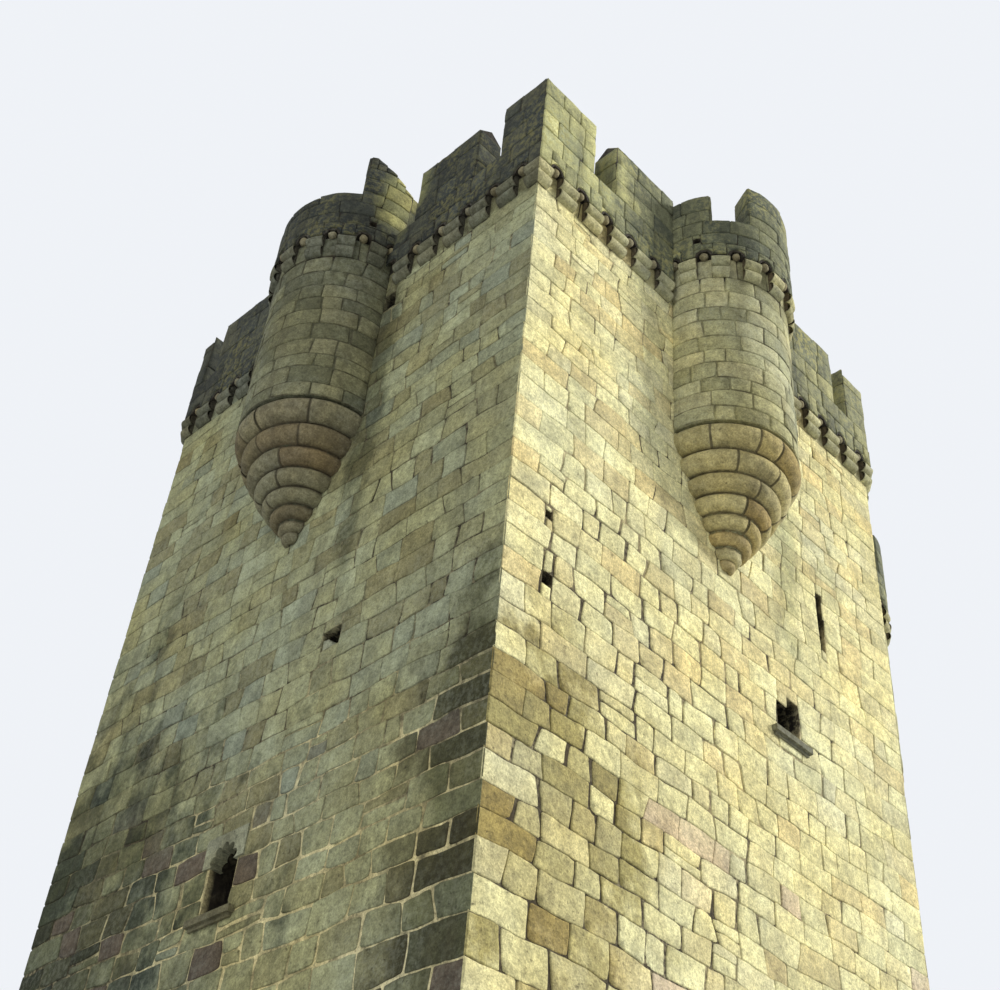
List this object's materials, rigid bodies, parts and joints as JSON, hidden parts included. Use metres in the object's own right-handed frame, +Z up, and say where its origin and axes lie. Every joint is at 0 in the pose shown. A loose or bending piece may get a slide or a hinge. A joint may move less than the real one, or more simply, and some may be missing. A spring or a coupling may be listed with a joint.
{
  "type": "castle keep",
  "caption": "Five-sided stone keep with a battlemented parapet on small corbels and round bartizans on stepped feet.",
  "frame": {"origin": "on the ground, under the middle of the whole outline", "axes": "+Z up, -Y out of the front right wall, -X out of the front left wall"},
  "size_m": [22.9391, 22.9391, 27.8],
  "materials": {
    "buff_stone": "rough",
    "olive_stone": "rough",
    "floor_stone": "rough",
    "carved_stone": "rough",
    "weathered_stone": "rough"
  },
  "bodies": {
    "root": {"front_right_wall": "buff_stone", "side_right_wall": "buff_stone", "side_left_wall": "olive_stone", "front_left_wall": "olive_stone", "back_wall_left": "olive_stone", "back_wall_right": "olive_stone", "back_wall_over_door": "olive_stone", "ground_floor": "floor_stone", "first_floor": "floor_stone", "second_floor": "floor_stone", "terrace_floor": "floor_stone", "front_right_window_sill": "carved_stone", "front_left_window_sill": "carved_stone", "front_right_parapet": "weathered_stone", "front_right_corbels": "weathered_stone", "front_right_bartizan_foot": "carved_stone", "front_right_bartizan_drum": "buff_stone", "front_right_bartizan_corbels": "weathered_stone", "front_right_bartizan_parapet": "weathered_stone", "side_right_parapet": "weathered_stone", "side_right_corbels": "weathered_stone", "side_right_bartizan_foot": "carved_stone", "side_right_bartizan_drum": "buff_stone", "side_right_bartizan_corbels": "weathered_stone", "side_right_bartizan_parapet": "weathered_stone", "back_parapet": "weathered_stone", "back_corbels": "weathered_stone", "back_bartizan_foot": "carved_stone", "back_bartizan_drum": "buff_stone", "back_bartizan_corbels": "weathered_stone", "back_bartizan_parapet": "weathered_stone", "side_left_parapet": "weathered_stone", "side_left_corbels": "weathered_stone", "side_left_bartizan_foot": "carved_stone", "side_left_bartizan_drum": "buff_stone", "side_left_bartizan_corbels": "weathered_stone", "side_left_bartizan_parapet": "weathered_stone", "front_left_parapet": "weathered_stone", "front_left_corbels": "weathered_stone", "front_left_bartizan_foot": "carved_stone", "front_left_bartizan_drum": "buff_stone", "front_left_bartizan_corbels": "weathered_stone", "front_left_bartizan_parapet": "weathered_stone"}
  },
  "joints": []
}
